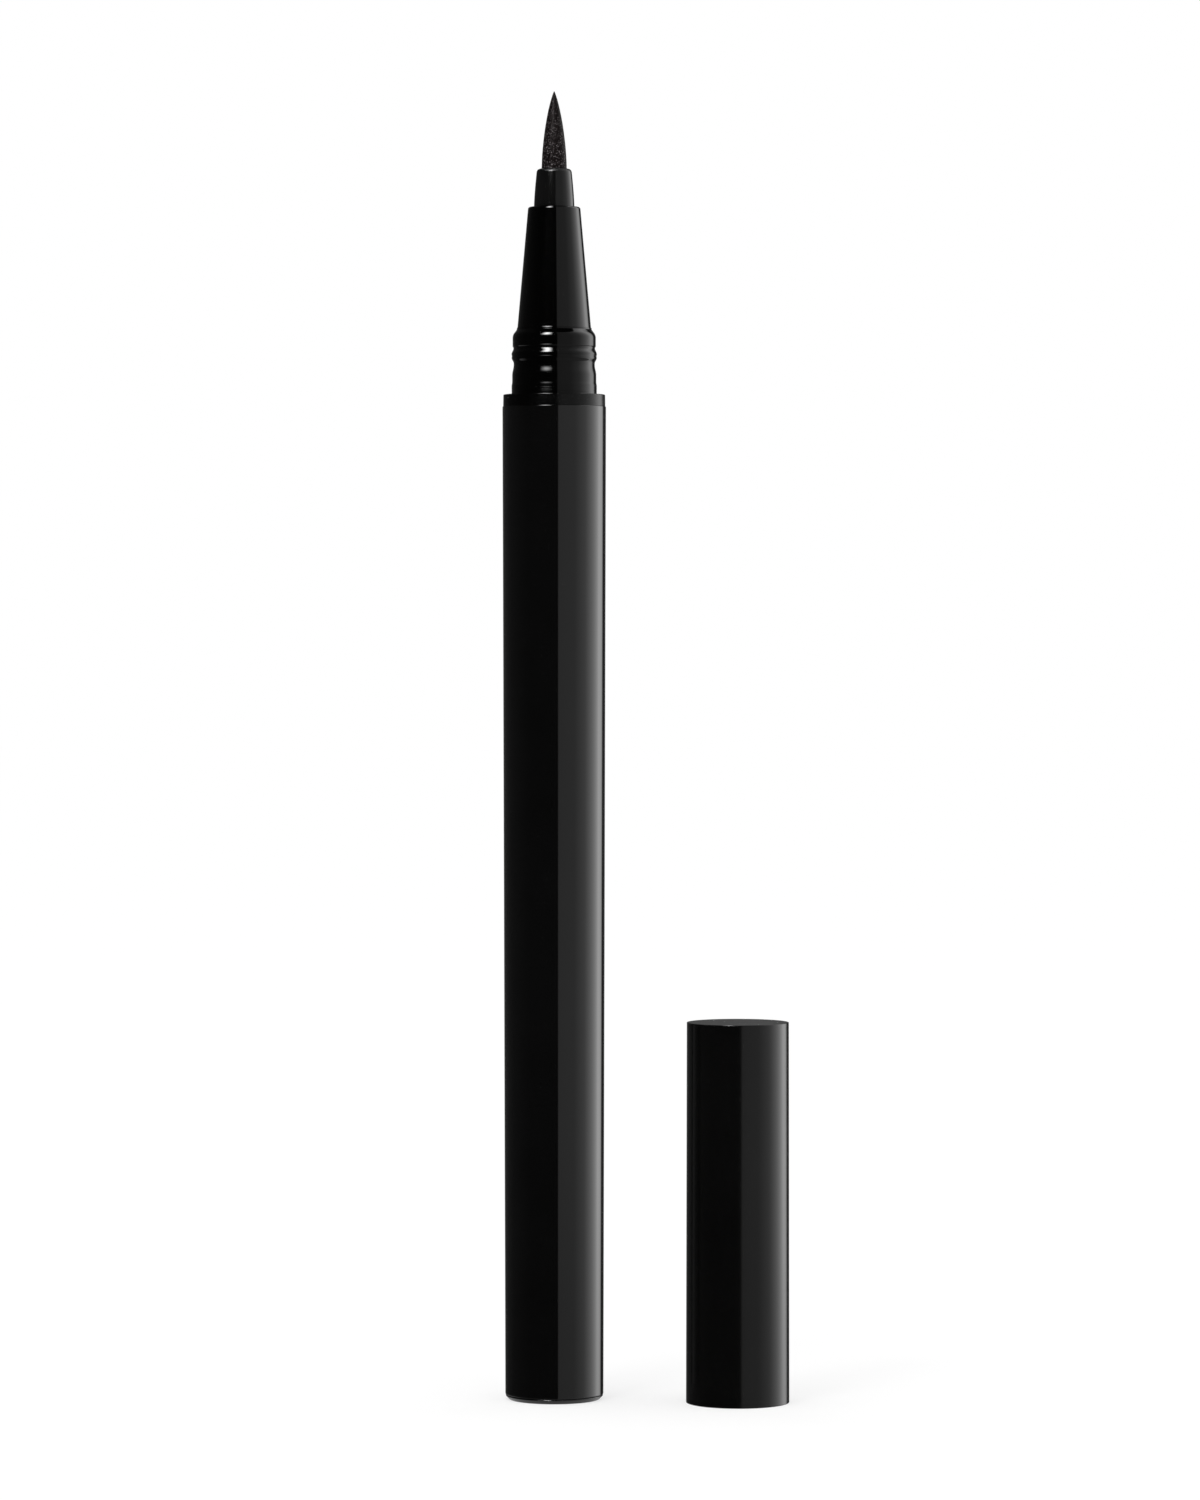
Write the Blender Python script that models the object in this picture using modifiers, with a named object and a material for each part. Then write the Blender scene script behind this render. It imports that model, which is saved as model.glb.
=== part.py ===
# Pen-type liquid eyeliner, uncapped and standing nib up, with its cap standing beside it.
# Metres, +Z up. The origin is the centre of the pen's flat base, and the pen's axis is Z.
# Inside the barrel, from the base up: tail plug, two mixing balls, ink tank, finned
# collector, feed wick and its tube, overflow sponge, nib. Inside the cap, from its mouth
# up: retaining ring, sprung inner cap that seals round the nib, spring.

import math

import bmesh
import bpy
from mathutils import Vector

# Gaps between pieces
SEAM = 0.00005
PRESS_GAP = 0.00005
SLIDE_GAP = 0.0001

# Barrel: a drafted tube whose bore is the ink tank
BARREL_LENGTH = 0.0988
BARREL_BORE_RADIUS = 0.0041
BARREL_TOP_WALL = 0.00107
BARREL_BOTTOM_WALL = 0.00081
BARREL_TOP_ROUND = 0.00018
BARREL_BOTTOM_ROUND = 0.0001

# Tail plug: a cup pressed into the barrel, whose flange is the pen's base
PLUG_FLANGE_THICKNESS = 0.00045
PLUG_FLANGE_INSET = 0.00005
PLUG_FOOT_CHAMFER = 0.00038
PLUG_FLOOR_THICKNESS = 0.0014
PLUG_SKIRT_LENGTH = 0.0060
PLUG_SKIRT_WALL = 0.0006
PLUG_BEAD_RISE = 0.00012
PLUG_BEAD_HALF_HEIGHT = 0.0004
PLUG_BEAD_SHARES = (0.35, 0.70)

# Mixing balls: the play is what is left beside the pair in the plug's cup
BALL_PLAY = 0.00023

# Neck sleeve: spigot inside the barrel, collar on the barrel's rim, snap neck above it
SPIGOT_LENGTH = 0.0110
SPIGOT_WALL = 0.00085
SPIGOT_CHAMFER = 0.0003
COLLAR_HEIGHT = 0.00115
COLLAR_INSET = 0.00007
COLLAR_EDGE_ROUND = 0.00008
NECK_HEIGHT = 0.0065
NECK_WAIST_WALL = 0.00085
NECK_ROOT_RISE = 0.00020
NECK_LAND_RISE = 0.00014
NECK_BEAD_RISE = 0.00022
NECK_GROOVE_RISE = 0.00006
NECK_RIDGE_RISE = 0.00011
NECK_SHOULDER_RISE = 0.00010
NECK_SHOULDER_ROUND = 0.00085
NECK_LIP_LEDGE = 0.00006

# Front cone: the tapered grip, whose skirt is pressed into the neck
CONE_LENGTH = 0.01215
CONE_ROOT_LEDGE = 0.00053
CONE_TIP_WALL = 0.00053
CONE_TIP_ROUND = 0.00022
CONE_ROOT_CHAMFER = 0.00008
CONE_SKIRT_LENGTH = 0.0060
CONE_SEAT_LENGTH = 0.0040

# Nib ferrule: the nose that holds the nib, put in from behind the cone
FERRULE_LENGTH = 0.0038
FERRULE_ROOT_WALL = 0.00071
FERRULE_TIP_WALL = 0.00041
FERRULE_TIP_ROUND = 0.00036
FERRULE_FLANGE_LIP = 0.00034
FERRULE_FLANGE_THICKNESS = 0.0008
FERRULE_STEM_WALL = 0.00045
FERRULE_CURVE_SHARES = ((0.30, 0.39), (0.65, 0.77))

# Nib: bonded felt, an ogive in front of a plain shank that ends below the ferrule's flange
NIB_RADIUS = 0.00126
NIB_EXPOSED_LENGTH = 0.00775
NIB_TAIL_REACH = 0.0021
NIB_TAIL_CHAMFER = 0.0003
NIB_OGIVE_POWERS = (1.7, 0.79)
NIB_SPACING_POWER = 1.5

# Feed: fibre wick from the tank to the nib, its tube, and the overflow sponge round it
WICK_RADIUS = 0.0008
WICK_REACH_INTO_TANK = 0.0025
TUBE_WALL = 0.0003
TUBE_LAP_IN_FERRULE = 0.0014
TUBE_LAP_IN_COLLECTOR = 0.0030
SPONGE_LENGTH = 0.0070
SPONGE_CLEARANCE = 0.0003

# Collector: fins that hold back ink as the air in the tank warms and swells
FIN_COUNT = 14
FIN_PITCH = 0.0011
FIN_THICKNESS = 0.0005
FIN_INSET = 0.00025
CORE_WALL = 0.0007
TANK_SEAL_LENGTH = 0.0024
TANK_SEAL_GROOVE = 0.0003
BOSS_LENGTH = 0.0045
SLIT_WIDTH = 0.0003
SLIT_BITE = 0.0003
VENT_WIDTH = 0.0014
VENT_BITE = 0.00035

# Cap, standing on its open end to the right of the pen
CAP_STANDING_GAP = 0.00798
CAP_PLACE_Y = -0.0028
CAP_MOUTH_WALL = 0.00083
CAP_TOP_WALL = 0.00076
CAP_EDGE_ROUND = 0.00008
CAP_TOP_THICKNESS = 0.0018
CAP_NECK_CLEARANCE = 0.00007
CAP_MOUTH_BORE_DEPTH = 0.0076
CAP_UPPER_BORE_STEP = 0.00027
CAP_LEAD_IN = 0.00025
CAP_BEAD_RISE = 0.00014
CAP_BEAD_HALF_HEIGHT = 0.0006
CAP_BEAD_HEIGHT_SHARE = 0.45

# Inner cap: the sprung cup that seals on the cone's tip, and the ring that keeps it in
SEAL_STROKE = 0.0015
INNER_CAP_TRAVEL = 0.0025
INNER_CAP_CLEARANCE = 0.00015
INNER_CAP_WALL = 0.0006
INNER_CAP_TOP_THICKNESS = 0.0008
INNER_CAP_TOP_ROUND = 0.0006
INNER_CAP_FLANGE_DROP = 0.0030
INNER_CAP_FLANGE_THICKNESS = 0.0008
NIB_HEADROOM = 0.0020
RETAINER_HEIGHT = 0.0011
RETAINER_CLEARANCE = 0.0003
RETAINER_CHAMFER = 0.0003

# Cap spring: an open coil from the inner cap's flange to the cap's ceiling, round a boss
SPRING_WIRE_RADIUS = 0.0002
SPRING_SIDE_CLEARANCE = 0.0005
SPRING_TURNS = 6
SPRING_BOSS_LENGTH = 0.0020
SPRING_BOSS_CLEARANCE = 0.0007

# Fineness
FINE_SEGMENTS = 40
MEDIUM_SEGMENTS = 28
SMALL_SEGMENTS = 24
TINY_SEGMENTS = 16
BALL_RINGS = 10
ROUND_STEPS = 2
BEAD_STEPS = 4
OGIVE_STEPS = 10
COIL_POINTS_PER_TURN = 10
WAVE_STEPS = 4
SHARED_REACH = 0.45
LONE_REACH = 0.90
MERGE_DISTANCE = 0.000001
CUT_OVERRUN = 0.0005
SHARP_ANGLE = math.radians(32)

# Radii that follow, from the barrel's bore and the nib outwards
barrel_top_radius = BARREL_BORE_RADIUS + BARREL_TOP_WALL
barrel_bottom_radius = BARREL_BORE_RADIUS + BARREL_BOTTOM_WALL
plug_skirt_radius = BARREL_BORE_RADIUS - PRESS_GAP - PLUG_BEAD_RISE
plug_cup_radius = plug_skirt_radius - PLUG_SKIRT_WALL
ball_radius = (plug_cup_radius - SLIDE_GAP - BALL_PLAY) / 2
spigot_radius = BARREL_BORE_RADIUS - PRESS_GAP
collar_radius = barrel_top_radius - COLLAR_INSET
neck_bore_radius = spigot_radius - SPIGOT_WALL
neck_waist_radius = neck_bore_radius + NECK_WAIST_WALL
neck_root_radius = neck_waist_radius + NECK_ROOT_RISE
nib_bore_radius = NIB_RADIUS + PRESS_GAP
ferrule_root_radius = nib_bore_radius + FERRULE_ROOT_WALL
ferrule_tip_radius = nib_bore_radius + FERRULE_TIP_WALL
cone_seat_radius = ferrule_root_radius + PRESS_GAP
cone_bore_radius = ferrule_root_radius + FERRULE_FLANGE_LIP + PRESS_GAP
cone_tip_radius = cone_seat_radius + CONE_TIP_WALL
cone_skirt_radius = neck_bore_radius - PRESS_GAP
cone_root_radius = cone_skirt_radius + CONE_ROOT_LEDGE
wick_bore_radius = WICK_RADIUS + PRESS_GAP
tube_radius = wick_bore_radius + TUBE_WALL
socket_radius = tube_radius + PRESS_GAP
core_radius = socket_radius + CORE_WALL
fin_radius = spigot_radius - FIN_INSET
cap_mouth_bore_radius = neck_root_radius + CAP_NECK_CLEARANCE
cap_mouth_radius = cap_mouth_bore_radius + CAP_MOUTH_WALL
cap_top_radius = cap_mouth_bore_radius + CAP_TOP_WALL
cap_upper_bore_radius = cap_mouth_bore_radius - CAP_UPPER_BORE_STEP
inner_cap_bore_radius = ferrule_root_radius + INNER_CAP_CLEARANCE
inner_cap_radius = inner_cap_bore_radius + INNER_CAP_WALL
spring_coil_radius = cap_upper_bore_radius - SPRING_SIDE_CLEARANCE - SPRING_WIRE_RADIUS
spring_boss_radius = spring_coil_radius - SPRING_WIRE_RADIUS - SPRING_BOSS_CLEARANCE

# Heights that follow, from the pen's base up
barrel_bottom = PLUG_FLANGE_THICKNESS + SEAM
barrel_top = barrel_bottom + BARREL_LENGTH
collar_bottom = barrel_top + SEAM
collar_top = collar_bottom + COLLAR_HEIGHT
neck_top = collar_top + NECK_HEIGHT
cone_bottom = neck_top + SEAM
cone_top = cone_bottom + CONE_LENGTH
ferrule_top = cone_top + FERRULE_LENGTH
ferrule_flange_top = cone_top - CONE_SEAT_LENGTH - SEAM
ferrule_flange_bottom = ferrule_flange_top - FERRULE_FLANGE_THICKNESS
nib_tip = ferrule_top + NIB_EXPOSED_LENGTH
nib_tail = ferrule_flange_bottom - NIB_TAIL_REACH
ferrule_ledge = nib_tail - SEAM
tube_top = ferrule_ledge - SEAM
ferrule_tail = tube_top - TUBE_LAP_IN_FERRULE
spigot_bottom = collar_bottom - SPIGOT_LENGTH
fins_top = spigot_bottom - SEAM
fins_bottom = fins_top - FIN_COUNT * FIN_PITCH
collector_bottom = fins_bottom - TANK_SEAL_LENGTH
boss_top = fins_top + BOSS_LENGTH
tube_bottom = boss_top - TUBE_LAP_IN_COLLECTOR
wick_bottom = collector_bottom - WICK_REACH_INTO_TANK

# Heights that follow inside the cap, from its mouth up. The stroke is how far the cone's
# tip pushes the inner cap when the mouth meets the collar.
inner_cap_mouth = NECK_HEIGHT + SEAM + CONE_LENGTH - SEAL_STROKE
inner_cap_ceiling = inner_cap_mouth + FERRULE_LENGTH + NIB_EXPOSED_LENGTH + NIB_HEADROOM
inner_cap_top = inner_cap_ceiling + INNER_CAP_TOP_THICKNESS
flange_top = inner_cap_top - INNER_CAP_FLANGE_DROP
flange_bottom = flange_top - INNER_CAP_FLANGE_THICKNESS
retainer_top = flange_bottom - SEAM
spring_boss_bottom = inner_cap_top + INNER_CAP_TRAVEL + SLIDE_GAP
cap_ceiling = spring_boss_bottom + SPRING_BOSS_LENGTH
cap_top = cap_ceiling + CAP_TOP_THICKNESS

cap_place_x = barrel_top_radius + CAP_STANDING_GAP + cap_mouth_radius

# The neck's outline from its top down: corners of rise over the waist, share of the neck's
# height and round, and then knots of rise and share that soft waves run through
NECK_CORNER_SHARES = (
    (NECK_SHOULDER_RISE, 0.911, NECK_SHOULDER_ROUND),
    (NECK_SHOULDER_RISE, 0.752, 0),
    (NECK_RIDGE_RISE, 0.745, 0),
    (NECK_RIDGE_RISE, 0.740, 0),
    (NECK_GROOVE_RISE, 0.729, 0),
)
NECK_KNOT_SHARES = (
    (NECK_GROOVE_RISE, 0.703),
    (NECK_BEAD_RISE, 0.626),
    (NECK_BEAD_RISE, 0.592),
    (0, 0.482),
    (0, 0.468),
    (NECK_LAND_RISE, 0.312),
    (NECK_LAND_RISE, 0.208),
    (NECK_ROOT_RISE, 0.123),
)
NECK_LIP_SHARE = 0.994

GLOSS_BLACK = (0.008, 0.008, 0.008)
FELT_BLACK = (0.010, 0.007, 0.007)
NATURAL_WHITE = (0.75, 0.75, 0.72)
STEEL = (0.62, 0.62, 0.62)


def clear_scene():
    for obj in list(bpy.data.objects):
        bpy.data.objects.remove(obj)


def new_collection(name):
    collection = bpy.data.collections.new(name)
    bpy.context.scene.collection.children.link(collection)
    return collection


def new_axis(name, place):
    """An empty that carries the pieces round one axis."""
    axis = bpy.data.objects.new(name, None)
    axis.location = place
    parts.objects.link(axis)
    return axis


def finish_piece(obj, axis, colour, roughness, metallic):
    """Gives a piece a material of its own and hangs it on its axis."""
    material = bpy.data.materials.new(f"{obj.name}_material")
    material.use_nodes = True
    shader = material.node_tree.nodes["Principled BSDF"]
    shader.inputs["Base Color"].default_value = (*colour, 1)
    shader.inputs["Roughness"].default_value = roughness
    shader.inputs["Metallic"].default_value = metallic
    obj.data.materials.append(material)
    obj.parent = axis


def rounded(corners):
    """The outline through (radius, height, round) corners, each round drawn as an arc."""
    points = [Vector((radius, height)) for radius, height, _ in corners]
    outline = []
    for i, (_, _, corner_round) in enumerate(corners):
        if corner_round == 0 or i in (0, len(corners) - 1):
            outline.append(points[i])
            continue
        before = points[i - 1] - points[i]
        after = points[i + 1] - points[i]
        half_angle = before.angle(after) / 2
        share_before = SHARED_REACH if corners[i - 1][2] else LONE_REACH
        share_after = SHARED_REACH if corners[i + 1][2] else LONE_REACH
        longest_reach = min(share_before * before.length, share_after * after.length)
        reach = min(corner_round / math.tan(half_angle), longest_reach)
        middle = (before.normalized() + after.normalized()).normalized()
        centre = points[i] + middle * (reach / math.cos(half_angle))
        start = points[i] + before.normalized() * reach - centre
        end = points[i] + after.normalized() * reach - centre
        turn = start.angle_signed(end)
        for step in range(ROUND_STEPS + 1):
            angle = -turn * step / ROUND_STEPS
            x = start.x * math.cos(angle) - start.y * math.sin(angle)
            y = start.x * math.sin(angle) + start.y * math.cos(angle)
            outline.append(centre + Vector((x, y)))
    return outline


def bead(radius, height, rise, half_height):
    """Corners of a round bead that stands rise proud of radius, from its top to its bottom."""
    corners = []
    for step in range(BEAD_STEPS + 1):
        angle = math.pi * step / BEAD_STEPS
        corners.append((radius + rise * math.sin(angle), height + half_height * math.cos(angle), 0))
    return corners


def waves(knots):
    """Corners of soft waves through knots of radius and height."""
    corners = []
    for (radius, height), (next_radius, next_height) in zip(knots, knots[1:]):
        steps = 1 if radius == next_radius else WAVE_STEPS
        for step in range(steps):
            share = step / steps
            ease = (1 - math.cos(math.pi * share)) / 2
            corners.append((radius + (next_radius - radius) * ease, height + (next_height - height) * share, 0))
    return corners + [(*knots[-1], 0)]


def spin(name, outline, segments, closed):
    """Turns an outline, run down its outer side from top to bottom, round Z."""
    profile = bpy.data.meshes.new(name)
    edges = [(i, i + 1) for i in range(len(outline) - 1)]
    if closed:
        edges.append((len(outline) - 1, 0))
    profile.from_pydata([(point[0], 0, point[1]) for point in outline], edges, [])
    obj = bpy.data.objects.new(name, profile)
    parts.objects.link(obj)
    screw = obj.modifiers.new("Turn", "SCREW")
    screw.steps = segments
    screw.render_steps = segments
    screw.use_merge_vertices = True
    screw.merge_threshold = MERGE_DISTANCE
    graph = bpy.context.evaluated_depsgraph_get()
    mesh = bpy.data.meshes.new_from_object(obj.evaluated_get(graph))
    obj.modifiers.clear()
    obj.data = mesh
    mesh.shade_smooth()
    mesh.set_sharp_from_angle(angle=SHARP_ANGLE)
    return obj


def turned_solid(name, corners, segments):
    """A turned piece whose outline starts and ends on the axis."""
    return spin(name, rounded(corners), segments, closed=False)


def turned_ring(name, corners, segments):
    """A turned piece with a hole through it, whose outline closes on itself."""
    return spin(name, rounded(corners), segments, closed=True)


def plain_ring(name, radius, bore_radius, top, bottom, segments):
    corners = [(bore_radius, top, 0), (radius, top, 0), (radius, bottom, 0), (bore_radius, bottom, 0)]
    return turned_ring(name, corners, segments)


def cut_box(obj, name, low, high):
    """Cuts the box between two corners out of a piece."""
    mesh = bpy.data.meshes.new(name)
    shape = bmesh.new()
    bmesh.ops.create_cube(shape, size=1)
    shape.to_mesh(mesh)
    shape.free()
    box = bpy.data.objects.new(name, mesh)
    box.location = (Vector(low) + Vector(high)) / 2
    box.scale = Vector(high) - Vector(low)
    box.hide_render = True
    box.display_type = "WIRE"
    cutters.objects.link(box)
    difference = obj.modifiers.new(name, "BOOLEAN")
    difference.operation = "DIFFERENCE"
    difference.solver = "EXACT"
    difference.object = box


def make_barrel():
    """The barrel, its draft running from a narrow tail to a wide front rim."""
    corners = [
        (BARREL_BORE_RADIUS, barrel_top, 0),
        (barrel_top_radius, barrel_top, BARREL_TOP_ROUND),
        (barrel_bottom_radius, barrel_bottom, BARREL_BOTTOM_ROUND),
        (BARREL_BORE_RADIUS, barrel_bottom, 0),
    ]
    return turned_ring("barrel", corners, FINE_SEGMENTS)


def make_tail_plug():
    """A cup with its open side to the tank, two sealing beads on its skirt and a chamfered foot."""
    flange_radius = barrel_bottom_radius - PLUG_FLANGE_INSET
    skirt_top = PLUG_FLANGE_THICKNESS + PLUG_SKIRT_LENGTH
    corners = [
        (0, PLUG_FLOOR_THICKNESS, 0),
        (plug_cup_radius, PLUG_FLOOR_THICKNESS, 0),
        (plug_cup_radius, skirt_top, 0),
        (plug_skirt_radius, skirt_top, 0),
    ]
    for share in reversed(PLUG_BEAD_SHARES):
        height = PLUG_FLANGE_THICKNESS + share * PLUG_SKIRT_LENGTH
        corners += bead(plug_skirt_radius, height, PLUG_BEAD_RISE, PLUG_BEAD_HALF_HEIGHT)
    corners += [
        (plug_skirt_radius, PLUG_FLANGE_THICKNESS, 0),
        (flange_radius, PLUG_FLANGE_THICKNESS, 0),
        (flange_radius, PLUG_FOOT_CHAMFER, 0),
        (flange_radius - PLUG_FOOT_CHAMFER, 0, 0),
        (0, 0, 0),
    ]
    return turned_solid("tail_plug", corners, FINE_SEGMENTS)


def make_mixing_ball(number, side):
    """One of the pair of balls that lie side by side on the plug's floor."""
    mesh = bpy.data.meshes.new("mixing_ball")
    shape = bmesh.new()
    bmesh.ops.create_uvsphere(shape, u_segments=TINY_SEGMENTS, v_segments=BALL_RINGS, radius=ball_radius)
    shape.to_mesh(mesh)
    shape.free()
    mesh.shade_smooth()
    ball = bpy.data.objects.new(f"mixing_ball_{number}", mesh)
    ball.location = (side * (ball_radius + SLIDE_GAP), 0, PLUG_FLOOR_THICKNESS + SEAM + ball_radius)
    parts.objects.link(ball)
    return ball


def make_neck_sleeve():
    """Spigot, collar and snap neck in one, bored through for the collector's boss and the cone."""
    corners = [
        (neck_bore_radius, neck_top, 0),
        (cone_root_radius, neck_top, 0),
        (cone_root_radius + NECK_LIP_LEDGE, collar_top + NECK_LIP_SHARE * NECK_HEIGHT, 0),
    ]
    for rise, share, corner_round in NECK_CORNER_SHARES:
        corners.append((neck_waist_radius + rise, collar_top + share * NECK_HEIGHT, corner_round))
    knots = [(neck_waist_radius + rise, collar_top + share * NECK_HEIGHT) for rise, share in NECK_KNOT_SHARES]
    corners += waves(knots)
    corners += [
        (neck_root_radius, collar_top, 0),
        (collar_radius, collar_top, COLLAR_EDGE_ROUND),
        (collar_radius, collar_bottom, COLLAR_EDGE_ROUND),
        (spigot_radius, collar_bottom, 0),
        (spigot_radius, spigot_bottom + SPIGOT_CHAMFER, 0),
        (spigot_radius - SPIGOT_CHAMFER, spigot_bottom, 0),
        (neck_bore_radius, spigot_bottom, 0),
    ]
    return turned_ring("neck_sleeve", corners, FINE_SEGMENTS)


def make_front_cone():
    """The grip. Its bore steps in near the tip, and the ferrule's flange stops against the step."""
    seat_bottom = cone_top - CONE_SEAT_LENGTH
    skirt_bottom = cone_bottom - CONE_SKIRT_LENGTH
    corners = [
        (cone_seat_radius, cone_top, 0),
        (cone_tip_radius, cone_top, CONE_TIP_ROUND),
        (cone_root_radius, cone_bottom + CONE_ROOT_CHAMFER, 0),
        (cone_root_radius - CONE_ROOT_CHAMFER, cone_bottom, 0),
        (cone_skirt_radius, cone_bottom, 0),
        (cone_skirt_radius, skirt_bottom, 0),
        (cone_bore_radius, skirt_bottom, 0),
        (cone_bore_radius, seat_bottom, 0),
        (cone_seat_radius, seat_bottom, 0),
    ]
    return turned_ring("front_cone", corners, FINE_SEGMENTS)


def make_nib_ferrule():
    """The nose, a flange that stops it in the cone, and a stem that holds the nib and the feed tube.
    Each curve share pairs a share of the nose's length with a share of its growth in radius."""
    corners = [(nib_bore_radius, ferrule_top, 0), (ferrule_tip_radius, ferrule_top, FERRULE_TIP_ROUND)]
    growth = ferrule_root_radius - ferrule_tip_radius
    for length_share, growth_share in FERRULE_CURVE_SHARES:
        radius = ferrule_tip_radius + growth_share * growth
        corners.append((radius, ferrule_top - length_share * FERRULE_LENGTH, 0))
    flange_radius = ferrule_root_radius + FERRULE_FLANGE_LIP
    stem_radius = nib_bore_radius + FERRULE_STEM_WALL
    corners += [
        (ferrule_root_radius, cone_top, 0),
        (ferrule_root_radius, ferrule_flange_top, 0),
        (flange_radius, ferrule_flange_top, 0),
        (flange_radius, ferrule_flange_bottom, 0),
        (stem_radius, ferrule_flange_bottom, 0),
        (stem_radius, ferrule_tail, 0),
        (socket_radius, ferrule_tail, 0),
        (socket_radius, ferrule_ledge, 0),
        (nib_bore_radius, ferrule_ledge, 0),
    ]
    return turned_ring("nib_ferrule", corners, MEDIUM_SEGMENTS)


def make_nib():
    """An ogive whose radius at share s of its length is R * (1 - (1 - s)^a)^b, on a plain shank."""
    steepness, fullness = NIB_OGIVE_POWERS
    corners = [(0, nib_tip, 0)]
    for step in range(1, OGIVE_STEPS + 1):
        share = (step / OGIVE_STEPS) ** NIB_SPACING_POWER
        radius = NIB_RADIUS * (1 - (1 - share) ** steepness) ** fullness
        corners.append((radius, nib_tip - share * NIB_EXPOSED_LENGTH, 0))
    corners += [
        (NIB_RADIUS, nib_tail + NIB_TAIL_CHAMFER, 0),
        (NIB_RADIUS - NIB_TAIL_CHAMFER, nib_tail, 0),
        (0, nib_tail, 0),
    ]
    return turned_solid("nib", corners, SMALL_SEGMENTS)


def make_feed_wick():
    corners = [(0, tube_top, 0), (WICK_RADIUS, tube_top, 0), (WICK_RADIUS, wick_bottom, 0), (0, wick_bottom, 0)]
    return turned_solid("feed_wick", corners, TINY_SEGMENTS)


def make_feed_tube():
    """The stiff tube that carries the wick from the collector's socket to the ferrule's stem."""
    return plain_ring("feed_tube", tube_radius, wick_bore_radius, tube_top, tube_bottom, TINY_SEGMENTS)


def make_overflow_sponge():
    """A soft sleeve round the feed tube, under the ferrule, that drinks up stray ink."""
    top = ferrule_tail - SPONGE_CLEARANCE
    radius = cone_bore_radius - PRESS_GAP
    return plain_ring("overflow_sponge", radius, socket_radius, top, top - SPONGE_LENGTH, SMALL_SEGMENTS)


def make_ink_collector():
    """Tank seal, fins on a hollow core, and a boss whose socket holds the feed tube.
    A narrow slit feeds ink from fin to fin, and a wide vent on the far side lets air back."""
    boss_radius = neck_bore_radius - PRESS_GAP
    socket_floor = tube_bottom - SEAM
    seal_middle = (fins_bottom + collector_bottom) / 2
    corners = [
        (socket_radius, boss_top, 0),
        (boss_radius, boss_top, 0),
        (boss_radius, fins_top, 0),
        (spigot_radius, fins_top, 0),
        (spigot_radius, fins_top - FIN_THICKNESS, 0),
        (core_radius, fins_top - FIN_THICKNESS, 0),
    ]
    for fin in range(1, FIN_COUNT):
        fin_top = fins_top - fin * FIN_PITCH
        corners += [
            (core_radius, fin_top, 0),
            (fin_radius, fin_top, 0),
            (fin_radius, fin_top - FIN_THICKNESS, 0),
            (core_radius, fin_top - FIN_THICKNESS, 0),
        ]
    corners += [
        (core_radius, fins_bottom, 0),
        (spigot_radius, fins_bottom, 0),
        (spigot_radius, seal_middle + TANK_SEAL_GROOVE, 0),
        (spigot_radius - TANK_SEAL_GROOVE, seal_middle, 0),
        (spigot_radius, seal_middle - TANK_SEAL_GROOVE, 0),
        (spigot_radius, collector_bottom, 0),
        (wick_bore_radius, collector_bottom, 0),
        (wick_bore_radius, socket_floor, 0),
        (socket_radius, socket_floor, 0),
    ]
    collector = turned_ring("ink_collector", corners, SMALL_SEGMENTS)
    beyond = spigot_radius + CUT_OVERRUN
    slit_low = (core_radius - SLIT_BITE, -SLIT_WIDTH / 2, fins_bottom)
    slit_high = (beyond, SLIT_WIDTH / 2, fins_top - FIN_THICKNESS)
    vent_low = (-beyond, -VENT_WIDTH / 2, fins_bottom)
    vent_high = (VENT_BITE - boss_radius, VENT_WIDTH / 2, boss_top + CUT_OVERRUN)
    cut_box(collector, "ink_slit", slit_low, slit_high)
    cut_box(collector, "air_vent", vent_low, vent_high)
    return collector


def make_cap_shell():
    """A drafted cup, open end down, with a snap bead in its mouth and a spring boss in its ceiling."""
    bead_height = CAP_BEAD_HEIGHT_SHARE * NECK_HEIGHT
    corners = [
        (0, cap_top, 0),
        (cap_top_radius, cap_top, CAP_EDGE_ROUND),
        (cap_mouth_radius, 0, CAP_EDGE_ROUND),
        (cap_mouth_bore_radius + CAP_LEAD_IN, 0, 0),
        (cap_mouth_bore_radius, CAP_LEAD_IN, 0),
    ]
    corners += reversed(bead(cap_mouth_bore_radius, bead_height, -CAP_BEAD_RISE, CAP_BEAD_HALF_HEIGHT))
    corners += [
        (cap_mouth_bore_radius, CAP_MOUTH_BORE_DEPTH, 0),
        (cap_upper_bore_radius, CAP_MOUTH_BORE_DEPTH + CAP_UPPER_BORE_STEP, 0),
        (cap_upper_bore_radius, cap_ceiling, 0),
        (spring_boss_radius, cap_ceiling, 0),
        (spring_boss_radius, spring_boss_bottom, 0),
        (0, spring_boss_bottom, 0),
    ]
    return turned_solid("cap_shell", corners, FINE_SEGMENTS)


def make_inner_cap():
    """The cup that closes over the ferrule. Its flange slides in the cap's bore and takes the spring."""
    flange_radius = cap_upper_bore_radius - SLIDE_GAP
    corners = [
        (0, inner_cap_top, 0),
        (inner_cap_radius, inner_cap_top, INNER_CAP_TOP_ROUND),
        (inner_cap_radius, flange_top, 0),
        (flange_radius, flange_top, 0),
        (flange_radius, flange_bottom, 0),
        (inner_cap_radius, flange_bottom, 0),
        (inner_cap_radius, inner_cap_mouth, 0),
        (inner_cap_bore_radius, inner_cap_mouth, 0),
        (inner_cap_bore_radius, inner_cap_ceiling, 0),
        (0, inner_cap_ceiling, 0),
    ]
    return turned_solid("inner_cap", corners, MEDIUM_SEGMENTS)


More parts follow.
